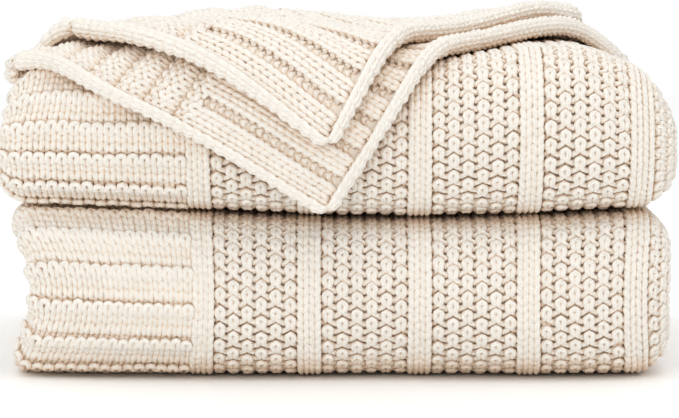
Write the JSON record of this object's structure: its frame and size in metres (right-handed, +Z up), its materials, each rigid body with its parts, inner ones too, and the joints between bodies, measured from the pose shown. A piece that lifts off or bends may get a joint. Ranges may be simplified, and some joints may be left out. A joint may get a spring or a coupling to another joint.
{
  "type": "folded throw blanket",
  "caption": "Chunky knitted throw folded into a low stack with two rounded front folds and one corner turned over the front.",
  "frame": {"origin": "on the ground under the middle of the whole object", "axes": "+X to the right along the folded width, seen from the front; front folds face -Y; +Z up"},
  "size_m": [0.32, 0.2918, 0.1718],
  "materials": {
    "knit": "soft brushed acrylic and wool yarn, ivory",
    "label": "woven satin tape, blank"
  },
  "bodies": {
    "lower_half": {"outer_layer_lower": "knit", "second_layer_lower": "knit", "third_layer_lower": "knit", "inner_layer_lower": "knit"},
    "upper_half": {"outer_layer_upper": "knit", "second_layer_upper": "knit", "third_layer_upper": "knit", "inner_layer_upper": "knit", "care_label": "label"},
    "corner_flap": {"corner_flap_under": "knit", "corner_flap_top": "knit"}
  },
  "joints": [
    {"name": "back_fold", "type": "hinge", "parent": "lower_half", "child": "upper_half", "pos_m": [0, 0.1459, 0.08], "axis": [-1, 0, 0], "range_deg": [0, 150]},
    {"name": "corner_crease", "type": "hinge", "parent": "upper_half", "child": "corner_flap", "pos_m": [-0.16, -0.1141, 0.161], "axis": [-0.866, -0.5, 0], "range_deg": [0, 140]}
  ]
}
